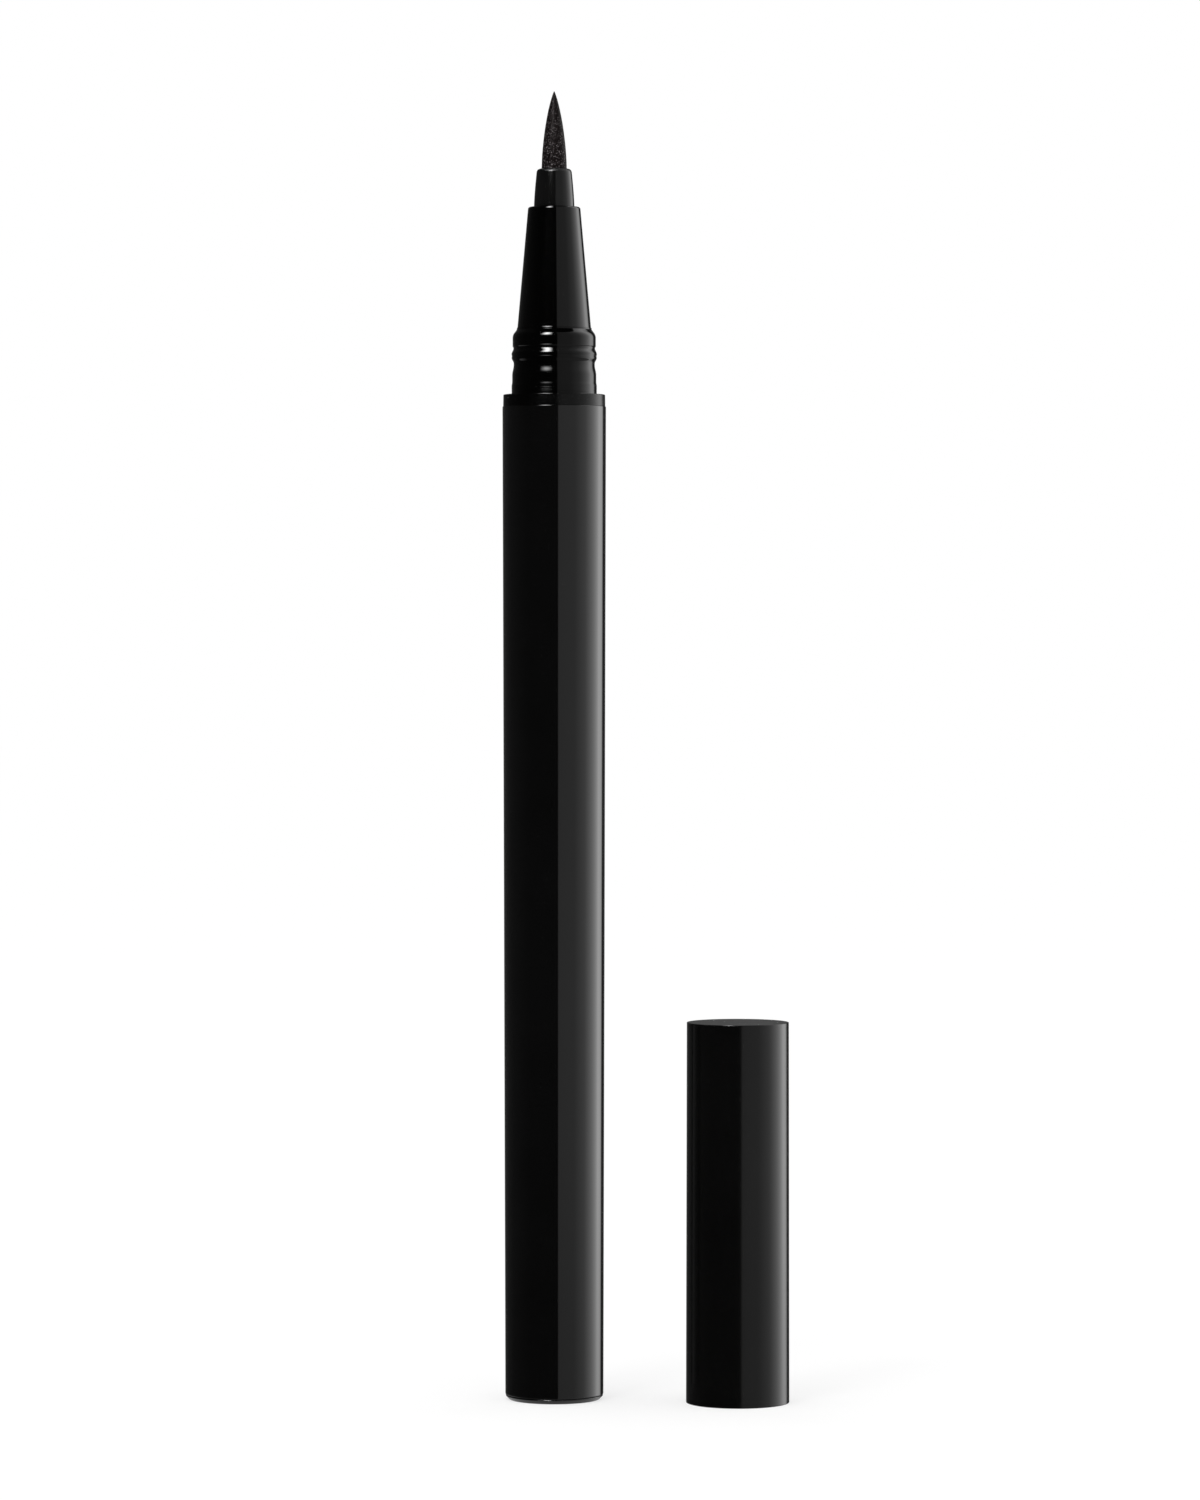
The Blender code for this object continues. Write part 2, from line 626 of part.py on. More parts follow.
def make_inner_cap_retainer():
    """The ring pressed into the cap that stops the inner cap's flange."""
    radius = cap_upper_bore_radius - PRESS_GAP
    bore_radius = inner_cap_radius + RETAINER_CLEARANCE
    bottom = retainer_top - RETAINER_HEIGHT
    corners = [
        (bore_radius, retainer_top, 0),
        (radius, retainer_top, 0),
        (radius, bottom, 0),
        (bore_radius + RETAINER_CHAMFER, bottom, 0),
        (bore_radius, bottom + RETAINER_CHAMFER, 0),
    ]
    return turned_ring("inner_cap_retainer", corners, MEDIUM_SEGMENTS)


def make_cap_spring():
    """The coil that pushes the inner cap down on its retainer."""
    low = flange_top + SEAM + SPRING_WIRE_RADIUS
    high = cap_ceiling - SEAM - SPRING_WIRE_RADIUS
    steps = SPRING_TURNS * COIL_POINTS_PER_TURN
    curve = bpy.data.curves.new("cap_spring", "CURVE")
    curve.dimensions = "3D"
    curve.bevel_depth = SPRING_WIRE_RADIUS
    curve.bevel_resolution = 1
    curve.use_fill_caps = True
    wire = curve.splines.new("POLY")
    wire.points.add(steps)
    for step in range(steps + 1):
        angle = math.tau * step / COIL_POINTS_PER_TURN
        x = spring_coil_radius * math.cos(angle)
        y = spring_coil_radius * math.sin(angle)
        wire.points[step].co = (x, y, low + (high - low) * step / steps, 1)
    gap = (high - low) / SPRING_TURNS - 2 * SPRING_WIRE_RADIUS
    print(f"cap spring: least gap between turns {gap:.5f} m")
    spring = bpy.data.objects.new("cap_spring", curve)
    parts.objects.link(spring)
    return spring


clear_scene()
parts = new_collection("liquid_eyeliner")
cutters = new_collection("cutters")

pen_axis = new_axis("pen_axis", (0, 0, 0))
cap_axis = new_axis("cap_axis", (cap_place_x, CAP_PLACE_Y, 0))

finish_piece(make_barrel(), pen_axis, GLOSS_BLACK, 0.18, 0)
finish_piece(make_tail_plug(), pen_axis, GLOSS_BLACK, 0.22, 0)
finish_piece(make_neck_sleeve(), pen_axis, GLOSS_BLACK, 0.10, 0)
finish_piece(make_front_cone(), pen_axis, GLOSS_BLACK, 0.10, 0)
finish_piece(make_nib_ferrule(), pen_axis, GLOSS_BLACK, 0.15, 0)
finish_piece(make_nib(), pen_axis, FELT_BLACK, 0.60, 0)
finish_piece(make_feed_wick(), pen_axis, FELT_BLACK, 0.80, 0)
finish_piece(make_feed_tube(), pen_axis, STEEL, 0.25, 1)
finish_piece(make_overflow_sponge(), pen_axis, NATURAL_WHITE, 0.90, 0)
finish_piece(make_ink_collector(), pen_axis, NATURAL_WHITE, 0.40, 0)
finish_piece(make_mixing_ball(1, -1), pen_axis, STEEL, 0.15, 1)
finish_piece(make_mixing_ball(2, 1), pen_axis, STEEL, 0.15, 1)
finish_piece(make_cap_shell(), cap_axis, GLOSS_BLACK, 0.20, 0)
finish_piece(make_inner_cap(), cap_axis, NATURAL_WHITE, 0.35, 0)
finish_piece(make_inner_cap_retainer(), cap_axis, NATURAL_WHITE, 0.35, 0)
finish_piece(make_cap_spring(), cap_axis, STEEL, 0.25, 1)
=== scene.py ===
# Looks of the pen-type liquid eyeliner, uncapped, with its cap standing beside it.
# Metres, +Z up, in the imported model's own frame. The pen's axis is Z.

import math

import bmesh
import bpy
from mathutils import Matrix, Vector, noise


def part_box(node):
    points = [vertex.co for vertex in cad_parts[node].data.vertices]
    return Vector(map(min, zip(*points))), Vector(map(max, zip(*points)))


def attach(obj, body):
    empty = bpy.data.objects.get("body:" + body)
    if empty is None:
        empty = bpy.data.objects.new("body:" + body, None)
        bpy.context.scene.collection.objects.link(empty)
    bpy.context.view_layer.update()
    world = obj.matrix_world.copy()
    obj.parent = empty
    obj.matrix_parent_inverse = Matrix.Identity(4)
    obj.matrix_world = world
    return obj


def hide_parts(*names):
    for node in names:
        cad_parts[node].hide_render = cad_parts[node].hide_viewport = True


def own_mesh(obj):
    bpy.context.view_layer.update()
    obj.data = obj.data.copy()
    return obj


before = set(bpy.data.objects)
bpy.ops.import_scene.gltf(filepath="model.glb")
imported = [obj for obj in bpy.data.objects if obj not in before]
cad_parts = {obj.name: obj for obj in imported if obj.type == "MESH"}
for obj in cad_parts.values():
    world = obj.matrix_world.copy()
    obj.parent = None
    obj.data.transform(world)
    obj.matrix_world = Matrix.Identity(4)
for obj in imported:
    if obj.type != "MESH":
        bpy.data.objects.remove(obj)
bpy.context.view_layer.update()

# Gap between pieces that meet
SEAM = 0.00005

# Fineness. The reaches are the most that a round may take of a straight whose other end is round
# too, and of one whose other end isn't. Guards are the points near the ends of long straights.
SEGMENTS = 240
SMALL_SEGMENTS = 96
ARC_STEP = math.radians(6)
BEAD_STEPS = 12
SHARED_REACH = 0.48
LONE_REACH = 0.92
GUARD = 0.00003
GUARDED_LENGTH = 4 * GUARD
MERGE_DISTANCE = 0.0000005
SHARP_ANGLE = math.radians(25)

# Barrel
BARREL_FOOT_RADIUS = 0.00491
BARREL_BORE_RADIUS = 0.0041
BARREL_TOP_ROUND = 0.00004
BARREL_FOOT_ROUND = 0.00010

# Tail plug
FLANGE_THICKNESS = 0.00045
FLANGE_TOP_ROUND = 0.00006
FOOT_CHAMFER = 0.00036
FOOT_ROUND = 0.00006
PLUG_CUP_RADIUS = 0.00333
PLUG_SKIRT_RADIUS = 0.00393
PLUG_FLOOR = 0.0014
PLUG_BEAD_RISE = 0.00012
PLUG_BEAD_HEIGHTS = (0.00465, 0.00255)
PLUG_BEAD_HALF_HEIGHT = 0.0004
GATE_RADIUS = 0.0005
GATE_DEPTH = 0.00003

# Neck sleeve. The snap neck starts at its top with corners, as radius, height over the collar
# and round: the lip round the cone's foot, the shoulder and a fine ridge. Soft waves lead on
# through knots of radius and height: groove, snap bead with a shallow dip round it, waist, land
# and root.
NECK_BORE_RADIUS = 0.0032
SPIGOT_RADIUS = 0.00405
SPIGOT_CHAMFER = 0.0003
SNAP_NECK_HEIGHT = 0.0065
COLLAR_GAP = 0.00001
COLLAR_TOP_INSET = 0.00002
COLLAR_ROUND = 0.00008
COLLAR_FOOT_ROUND = 0.00002
NECK_CORNERS = (
    (0.003715, 0.00666, 0),
    (0.003735, 0.00660, 0),
    (0.00374, 0.00647, 0.00004),
    (0.00415, 0.00592, 0.00085),
    (0.00415, 0.00489, 0.00003),
    (0.004161, 0.00484, 0.00002),
    (0.00416, 0.00481, 0.00002),
    (0.00411, 0.00474, 0.00005),
)
NECK_KNOTS = (
    (0.004068, 0.00463),
    (0.004258, 0.00401),
    (0.004226, 0.00383),
    (0.004247, 0.00365),
    (0.004050, 0.00312),
    (0.004045, 0.00298),
    (0.004197, 0.00190),
    (0.004197, 0.00128),
    (0.004252, 0.00083),
)
WAVE_STEPS = 14
ROOT_RIPPLE_PITCH = 0.00017
ROOT_RIPPLE_RISE = 0.0000057
ROOT_RIPPLES = 4

# Front cone
CONE_TIP_RADIUS = 0.00260
CONE_SEAT_RADIUS = 0.00207
CONE_TIP_ROUND = 0.00022
CONE_FOOT_ROUND = 0.00006
CONE_SKIRT_RADIUS = 0.00315
CONE_SKIRT_LENGTH = 0.0060
CONE_BORE_RADIUS = 0.00241
CONE_SEAT_LENGTH = 0.0040

# Nib ferrule: its nose narrows by a power of the share of its height
FERRULE_ROOT_RADIUS = 0.00202
FERRULE_DROP = 0.00030
FERRULE_POWER = 1.4
FERRULE_TOP_ROUND = 0.00036
FERRULE_BORE_RADIUS = 0.00131
FERRULE_FLANGE_RADIUS = 0.00236
FERRULE_FLANGE_THICKNESS = 0.0008
FERRULE_STEM_RADIUS = 0.00176
FERRULE_SOCKET_RADIUS = 0.0012
FERRULE_SOCKET_LENGTH = 0.00145
FERRULE_STEPS = 9

# Nib: an ogive with the grain of pressed fibres
NIB_RADIUS = 0.00126
NIB_EXPOSED_LENGTH = 0.00775
NIB_TAIL_CHAMFER = 0.0003
NIB_OGIVE_POWERS = (1.7, 0.79)
NIB_ROWS = 150
NIB_SEGMENTS = 144
NIB_GRAIN_SIZE = 0.00011
NIB_GRAIN_RISE = 0.000008

# Cap shell
CAP_TOP_RADIUS = 0.00508
CAP_TOP_ROUND = 0.00005
CAP_MOUTH_ROUND = 0.00008
CAP_MOUTH_BORE_RADIUS = 0.00432
CAP_LEAD_IN = 0.00025
CAP_BEAD_HEIGHT = 0.002925
CAP_BEAD_RISE = 0.00014
CAP_BEAD_HALF_HEIGHT = 0.0006
CAP_MOUTH_BORE_DEPTH = 0.0076
CAP_UPPER_BORE_RADIUS = 0.00405
CAP_CEILING = 0.03615
SPRING_BOSS_RADIUS = 0.00245
SPRING_BOSS_LENGTH = 0.0020

# Inner cap, its retaining ring and its spring
INNER_CAP_RADIUS = 0.00277
INNER_CAP_BORE_RADIUS = 0.00217
INNER_CAP_TOP_THICKNESS = 0.0008
INNER_CAP_TOP_ROUND = 0.0006
INNER_CAP_MOUTH_ROUND = 0.00012
INNER_FLANGE_DROP = 0.0030
INNER_FLANGE_THICKNESS = 0.0008
INNER_FLANGE_ROUND = 0.00008
RETAINER_BORE_RADIUS = 0.00307
RETAINER_CHAMFER = 0.0003
SPRING_TURNS = 6
SPRING_POINTS_PER_TURN = 48
SPRING_WIRE_RADIUS = 0.0002
SPRING_WIRE_FINENESS = 4

# Overflow sponge
SPONGE_BORE_RADIUS = 0.0012
SPONGE_ROUND = 0.0002

# Plastics: tone, roughness, specular level, and the size and rise of the skin's peel. The spread
# takes tone and roughness a little to both sides, in lumps that go by the size of the peel.
NECK_BLACK = (0.0005, 0.0005, 0.0005)
FERRULE_BLACK = (0.0040, 0.0040, 0.0040)
BARREL_BLACK = (0.0020, 0.0020, 0.0020)
NATURAL_WHITE = (0.75, 0.75, 0.72)
PLASTICS = {
    "barrel_gloss": (BARREL_BLACK, 0.07, 0.5, 0.0020, 0.0000004),
    "plug_gloss": (BARREL_BLACK, 0.18, 0.5, 0.0015, 0.0000004),
    "neck_gloss": (NECK_BLACK, 0.09, 0.22, 0.0012, 0.0000003),
    "cone_gloss": (NECK_BLACK, 0.08, 0.32, 0.0012, 0.0000003),
    "ferrule_gloss": (FERRULE_BLACK, 0.10, 0.28, 0.0010, 0.0000004),
    "cap_gloss": (BARREL_BLACK, 0.15, 0.37, 0.0018, 0.0000004),
    "natural_plastic": (NATURAL_WHITE, 0.35, 0.5, 0.0010, 0.000001),
    "collector_plastic": (NATURAL_WHITE, 0.40, 0.5, 0.0010, 0.000001),
}
PLASTIC_SPREAD = (0.85, 1.15)
PEELS_PER_CLOUD = 4
GLOSS_LUMPS_PER_PEEL = 3
FERRULE_RIM_ROUGHNESS = 0.55
COLLAR_ROUGHNESS = 0.22

# Felt. Its specks are painted glints: a share of the cells, bright in the middle, that fade
# towards the tip.
FELT_DARK = (0.0006, 0.0003, 0.0003)
FELT_PALE = (0.0090, 0.0065, 0.0065)
FELT_ROUGHNESS = (0.28, 0.40)
FELT_SPECULAR = 0.03
FIBRE_SIZE = 0.00014
FIBRE_RISE = 0.00003
PAINTED_GLINT_CELL_SIZE = 0.00013
PAINTED_GLINT_COLOUR = (0.21, 0.19, 0.195)
PAINTED_GLINT_DISTANCES = (0.15, 0.60)
PAINTED_GLINT_LUCK = (0.40, 1.0)
PAINTED_GLINT_SHARE_AT_TIP = 0.15

# Steel and foam
STEEL_DARK = (0.56, 0.56, 0.57)
STEEL_PALE = (0.68, 0.68, 0.68)
STEEL_ROUGHNESS = (0.16, 0.30)
STEEL_MARK_SIZE = 0.0002
FOAM_WHITE = (0.70, 0.70, 0.66)
# This share darkens the pores' hollows as painted shade.
FOAM_PORE_SHADE_SHARE = 0.45
FOAM_ROUGHNESS = 0.9
PORE_SIZE = 0.00035
PORE_DISTANCES = (0.1, 0.5)
PORE_DEPTH = 0.0001

# Noise: the values that it mostly stays between, and how many finer layers it has
NOISE_VALUES = (0.3, 0.7)
NOISE_DETAIL = 2
FINE_NOISE_DETAIL = 4

# The CAD solids that are hidden inside the pen and kept as they are, with their materials
KEPT_NODES = {
    "feed_wick": "wick_fibre",
    "ink_collector": "collector_plastic",
    "feed_tube": "bright_steel",
    "mixing_ball_1": "bright_steel",
    "mixing_ball_2": "bright_steel",
}

# Camera: 600 mm in front of the pen's axis, as high as the photograph's horizon
LENS_MM = 144.05
SENSOR_MM = 36
CAMERA_PLACE = (0.00457, -0.600, 0.0780)
CAMERA_AIM = (0.00457, 0, 0.06501)
CAMERA_NEAR = 0.01
CAMERA_FAR = 20

# Tent: pairs of azimuth and level. Azimuths are degrees from the camera's side towards +X, seen
# from the pen. The front, where dark meets pale, is the same in the wall and in the low wall.
TENT_RADIUS = 0.5
TENT_MIDDLE = 0.0001
TENT_DEPTH = 0.80
TENT_HEIGHT = 0.90
TENT_STEP = 2
GROUND_LEVELS = ((-180, 0.6), (180, 0.6))
ROOF_LEVELS = ((-180, 0.01), (180, 0.01))
FRONT_LEVELS = ((-95, 0.035), (-60, 0.012), (9.0, 0.012), (9.2, 0.47), (47, 0.52))
WALL_LEVELS = (
    (-180, 0.12),
    (-163, 0.12),
    (-155, 0.06),
    *FRONT_LEVELS,
    (74, 0.95),
    (97, 2.1),
    (120, 3.4),
    (134, 2.0),
    (142, 0.05),
    (155, 0.05),
    (163, 0.12),
    (180, 0.12),
)
LOW_WALL_LEVELS = ((-180, 0.6), (-115, 0.6), *FRONT_LEVELS, (90, 0.6), (180, 0.6))
LOW_WALL_TOP = -0.15
WALL_FADE = 0.8
WALL_FADE_HEIGHTS = (-0.065, -0.020)

# Top light: shares at its azimuths, and levels at its elevations over the neck's top in degrees
TOP_LIGHT_RADIUS = 0.4
TOP_LIGHT_AZIMUTHS = ((-41, 0), (-33, 0.5), (-26, 1), (-20, 1), (-13, 0.5), (-5, 0))
TOP_LIGHT_LEVELS = ((17, 0), (20, 1.5), (23, 7), (25, 12), (28, 30), (34, 60), (52, 60), (58, 0))

# Light that falls on the object, and the floor
WHITE = (1, 1, 1, 1)
WORLD_LEVEL = 1.0
KEY_PLACE = (-0.18, -0.36, 0.42)
KEY_SIZE = 0.16
KEY_WATTS = 0.5
FLOOR_SIZE = 6.0
FLOOR_SHADOW_SHARE = 0.35

PEN_AXIS = Vector((0, 0, 0))
cap_low, cap_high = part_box("cap_shell")
CAP_AXIS = Vector(((cap_low.x + cap_high.x) / 2, (cap_low.y + cap_high.y) / 2, 0))


def arc(corner, before, after, corner_round, longest):
    """Points of the round at a corner between the ways to its two neighbours."""
    half_angle = before.angle(after) / 2
    reach = min(corner_round / math.tan(half_angle), longest)
    inwards = (before.normalized() + after.normalized()).normalized()
    centre = corner + inwards * reach / math.cos(half_angle)
    start = corner + before.normalized() * reach - centre
    end = corner + after.normalized() * reach - centre
    turn = start.angle(end)
    steps = max(2, math.ceil(turn / ARC_STEP))
    shares = [step / steps for step in range(steps + 1)]
    return [
        centre + (start * math.sin((1 - s) * turn) + end * math.sin(s * turn)) / math.sin(turn)
        for s in shares
    ]


def rounded(corners, closed=False):
    """The outline through (radius, height, round) corners. Long straights get a guard near each
    end, so that the shading of a round doesn't spread along them."""
    places = [Vector(corner[:2]) for corner in corners]
    points = []
    for i, corner in enumerate(corners):
        at_end = not closed and i in (0, len(corners) - 1)
        if corner[2] == 0 or at_end:
            points.append(places[i])
            continue
        following = (i + 1) % len(corners)
        before = places[i - 1] - places[i]
        after = places[following] - places[i]
        share_before = SHARED_REACH if corners[i - 1][2] else LONE_REACH
        share_after = SHARED_REACH if corners[following][2] else LONE_REACH
        longest = min(share_before * before.length, share_after * after.length)
        points += arc(places[i], before, after, corner[2], longest)
    if closed:
        points.append(points[0])
    outline = []
    for here, there in zip(points, points[1:]):
        outline.append(here)
        if (there - here).length > GUARDED_LENGTH:
            step = (there - here).normalized() * GUARD
            outline += [here + step, there - step]
    if not closed:
        outline.append(points[-1])
    return outline


def bead(radius, height, rise, half_height):
    """Corners of a round bead that stands rise proud of radius, from its top to its bottom."""
    angles = [math.pi * step / BEAD_STEPS for step in range(BEAD_STEPS + 1)]
    return [(radius + rise * math.sin(a), height + half_height * math.cos(a), 0) for a in angles]


def add_object(name, shape):
    """Makes an object of a bmesh, with its round faces shaded smooth."""
    bmesh.ops.recalc_face_normals(shape, faces=shape.faces)
    mesh = bpy.data.meshes.new(name)
    shape.to_mesh(mesh)
    shape.free()
    mesh.shade_smooth()
    mesh.set_sharp_from_angle(angle=SHARP_ANGLE)
    obj = bpy.data.objects.new(name, mesh)
    bpy.context.scene.collection.objects.link(obj)
    return obj


def lathe(name, outline, closed=False, axis=PEN_AXIS, segments=SEGMENTS):
    """Turns an outline of (radius, height) points round a vertical axis."""
    shape = bmesh.new()
    profile = [shape.verts.new((point[0], 0, point[1])) for point in outline]
    edges = [shape.edges.new(pair) for pair in zip(profile, profile[1:])]
    if closed:
        edges.append(shape.edges.new((profile[-1], profile[0])))
    bmesh.ops.spin(
        shape,
        geom=profile + edges,
        cent=(0, 0, 0),
        axis=(0, 0, 1),
        angle=math.tau,
        steps=segments,
        use_merge=True,
    )
    bmesh.ops.remove_doubles(shape, verts=shape.verts, dist=MERGE_DISTANCE)
    bmesh.ops.translate(shape, verts=shape.verts, vec=axis)
    return add_object(name, shape)


def place(obj, node, body, material):
    """Puts a piece in a node's stead, on its body, with its material."""
    obj.data.materials.append(material)
    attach(obj, body)
    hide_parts(node)
    return obj


def make_barrel():
    low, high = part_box("barrel")
    corners = (
        (BARREL_BORE_RADIUS, high.z, BARREL_FOOT_ROUND),
        (high.x, high.z, BARREL_TOP_ROUND),
        (BARREL_FOOT_RADIUS, low.z, BARREL_FOOT_ROUND),
        (BARREL_BORE_RADIUS, low.z, BARREL_FOOT_ROUND),
    )
    return lathe("barrel_moulding", rounded(corners, closed=True), closed=True)


def make_tail_plug():
    """A cup with sealing beads, and a flange whose chamfer is the pen's foot. Its underside has
    the shallow round mark of the moulding's gate."""
    low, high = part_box("tail_plug")
    corners = [
        (0, PLUG_FLOOR, 0),
        (PLUG_CUP_RADIUS, PLUG_FLOOR, FOOT_ROUND),
        (PLUG_CUP_RADIUS, high.z, FOOT_ROUND),
        (PLUG_SKIRT_RADIUS, high.z, FOOT_ROUND),
    ]
    for height in PLUG_BEAD_HEIGHTS:
        corners += bead(PLUG_SKIRT_RADIUS, height, PLUG_BEAD_RISE, PLUG_BEAD_HALF_HEIGHT)
    corners += [
        (PLUG_SKIRT_RADIUS, FLANGE_THICKNESS, 0),
        (high.x, FLANGE_THICKNESS, FLANGE_TOP_ROUND),
        (high.x, low.z + FOOT_CHAMFER, FOOT_ROUND),
        (high.x - FOOT_CHAMFER, low.z, FOOT_ROUND),
        (GATE_RADIUS, low.z, 0),
        (GATE_RADIUS - GATE_DEPTH, low.z + GATE_DEPTH, 0),
        (0, low.z + GATE_DEPTH, 0),
    ]
    return lathe("tail_plug_moulding", rounded(corners))


def waves(knots):
    """Corners of soft waves through knots of radius and height."""
    corners = []
    for (radius, height), (next_radius, next_height) in zip(knots, knots[1:]):
        for step in range(WAVE_STEPS):
            share = step / WAVE_STEPS
            ease = (1 - math.cos(math.pi * share)) / 2
            wave_radius = radius + (next_radius - radius) * ease
            corners.append((wave_radius, height + (next_height - height) * share, 0))
    return corners + [(*knots[-1], 0)]


def make_neck():
    """Snap neck with fine ripples at its root, collar, and the spigot that the barrel holds."""
    low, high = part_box("neck_sleeve")
    collar_top = high.z - SNAP_NECK_HEIGHT
    collar_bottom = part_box("barrel")[1].z + COLLAR_GAP
    neck = list(NECK_CORNERS) + waves(NECK_KNOTS)
    root_radius, ripple_top = NECK_KNOTS[-1]
    for step in range(1, ROOT_RIPPLES * WAVE_STEPS + 1):
        turns = step / WAVE_STEPS
        ripple = ROOT_RIPPLE_RISE * math.sin(math.tau * turns)
        neck.append((root_radius + ripple, ripple_top - turns * ROOT_RIPPLE_PITCH, 0))
    neck.append((root_radius, 0, 0))
    corners = [(NECK_BORE_RADIUS, high.z, 0), (NECK_CORNERS[0][0], high.z, 0)]
    corners += [(radius, collar_top + height, turn) for radius, height, turn in neck]
    corners += [
        (high.x - COLLAR_TOP_INSET, collar_top, COLLAR_ROUND),
        (high.x, collar_bottom, COLLAR_FOOT_ROUND),
        (SPIGOT_RADIUS, collar_bottom, 0),
        (SPIGOT_RADIUS, low.z + SPIGOT_CHAMFER, 0),
        (SPIGOT_RADIUS - SPIGOT_CHAMFER, low.z, 0),
        (NECK_BORE_RADIUS, low.z, 0),
    ]
    return lathe("neck_moulding", rounded(corners, closed=True), closed=True)


def make_front_cone():
    low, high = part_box("front_cone")
    foot = low.z + CONE_SKIRT_LENGTH
    seat = high.z - CONE_SEAT_LENGTH
    corners = (
        (CONE_SEAT_RADIUS, high.z, CONE_FOOT_ROUND),
        (CONE_TIP_RADIUS, high.z, CONE_TIP_ROUND),
        (high.x, foot, CONE_FOOT_ROUND),
        (CONE_SKIRT_RADIUS, foot, 0),
        (CONE_SKIRT_RADIUS, low.z, 0),
        (CONE_BORE_RADIUS, low.z, 0),
        (CONE_BORE_RADIUS, seat, 0),
        (CONE_SEAT_RADIUS, seat, 0),
    )
    return lathe("front_cone_moulding", rounded(corners, closed=True), closed=True)


def make_ferrule():
    """The nose that holds the nib, with the flange and stem that hold it in the cone."""
    low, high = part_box("nib_ferrule")
    cone_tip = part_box("front_cone")[1].z
    flange_top = cone_tip - CONE_SEAT_LENGTH - SEAM
    corners = [(FERRULE_BORE_RADIUS, high.z, 0)]
    nose = high.z - cone_tip
    for step in range(FERRULE_STEPS):
        share = 1 - step / FERRULE_STEPS
        radius = FERRULE_ROOT_RADIUS - FERRULE_DROP * share**FERRULE_POWER
        corners.append((radius, cone_tip + share * nose, FERRULE_TOP_ROUND if step == 0 else 0))
    corners += [
        (FERRULE_ROOT_RADIUS, cone_tip, 0),
        (FERRULE_ROOT_RADIUS, flange_top, 0),
        (FERRULE_FLANGE_RADIUS, flange_top, 0),
        (FERRULE_FLANGE_RADIUS, flange_top - FERRULE_FLANGE_THICKNESS, 0),
        (FERRULE_STEM_RADIUS, flange_top - FERRULE_FLANGE_THICKNESS, 0),
        (FERRULE_STEM_RADIUS, low.z, 0),
        (FERRULE_SOCKET_RADIUS, low.z, 0),
        (FERRULE_SOCKET_RADIUS, low.z + FERRULE_SOCKET_LENGTH, 0),
        (FERRULE_BORE_RADIUS, low.z + FERRULE_SOCKET_LENGTH, 0),
    ]
    return lathe("nib_ferrule_moulding", rounded(corners, closed=True), closed=True)


def make_nib():
    """A felt point: radius R * (1 - (1 - s)^a)^b at share s of its length, and a rough grain."""
    low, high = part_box("nib")
    steepness, fullness = NIB_OGIVE_POWERS
    outline = [Vector((0, high.z))]
    for row in range(1, NIB_ROWS + 1):
        share = row / NIB_ROWS
        radius = NIB_RADIUS * (1 - (1 - share) ** steepness) ** fullness
        outline.append(Vector((radius, high.z - share * NIB_EXPOSED_LENGTH)))
    outline += [
        Vector((NIB_RADIUS, low.z + NIB_TAIL_CHAMFER)),
        Vector((NIB_RADIUS - NIB_TAIL_CHAMFER, low.z)),
        Vector((0, low.z)),
    ]
    nib = lathe("nib_felt_point", outline, segments=NIB_SEGMENTS)
    root = high.z - NIB_EXPOSED_LENGTH
    for vertex in nib.data.vertices:
        spot = vertex.co
        radius = math.hypot(spot.x, spot.y)
        if spot.z > root and radius > NIB_GRAIN_SIZE:
            grain = noise.noise(spot / NIB_GRAIN_SIZE) - 1
            rise = NIB_GRAIN_RISE * grain * min(1, (spot.z - root) / NIB_GRAIN_SIZE)
            vertex.co = (spot.x * (1 + rise / radius), spot.y * (1 + rise / radius), spot.z)
    return nib


def make_cap_shell():
    """The cap: closed flat top, drafted side, mouth with a lead-in and a snap bead."""
    corners = [
        (0, cap_high.z, 0),
        (CAP_TOP_RADIUS, cap_high.z, CAP_TOP_ROUND),
        (cap_high.x - CAP_AXIS.x, cap_low.z, CAP_MOUTH_ROUND),
        (CAP_MOUTH_BORE_RADIUS + CAP_LEAD_IN, cap_low.z, CAP_MOUTH_ROUND),
        (CAP_MOUTH_BORE_RADIUS, cap_low.z + CAP_LEAD_IN, CAP_MOUTH_ROUND),
    ]
    bead_height = cap_low.z + CAP_BEAD_HEIGHT
    snap_bead = bead(CAP_MOUTH_BORE_RADIUS, bead_height, -CAP_BEAD_RISE, CAP_BEAD_HALF_HEIGHT)
    corners += reversed(snap_bead)
    step = CAP_MOUTH_BORE_RADIUS - CAP_UPPER_BORE_RADIUS
    corners += [
        (CAP_MOUTH_BORE_RADIUS, CAP_MOUTH_BORE_DEPTH, 0),
        (CAP_UPPER_BORE_RADIUS, CAP_MOUTH_BORE_DEPTH + step, 0),
        (CAP_UPPER_BORE_RADIUS, CAP_CEILING, 0),
        (SPRING_BOSS_RADIUS, CAP_CEILING, 0),
        (SPRING_BOSS_RADIUS, CAP_CEILING - SPRING_BOSS_LENGTH, 0),
        (0, CAP_CEILING - SPRING_BOSS_LENGTH, 0),
    ]
    return lathe("cap_moulding", rounded(corners), axis=CAP_AXIS)


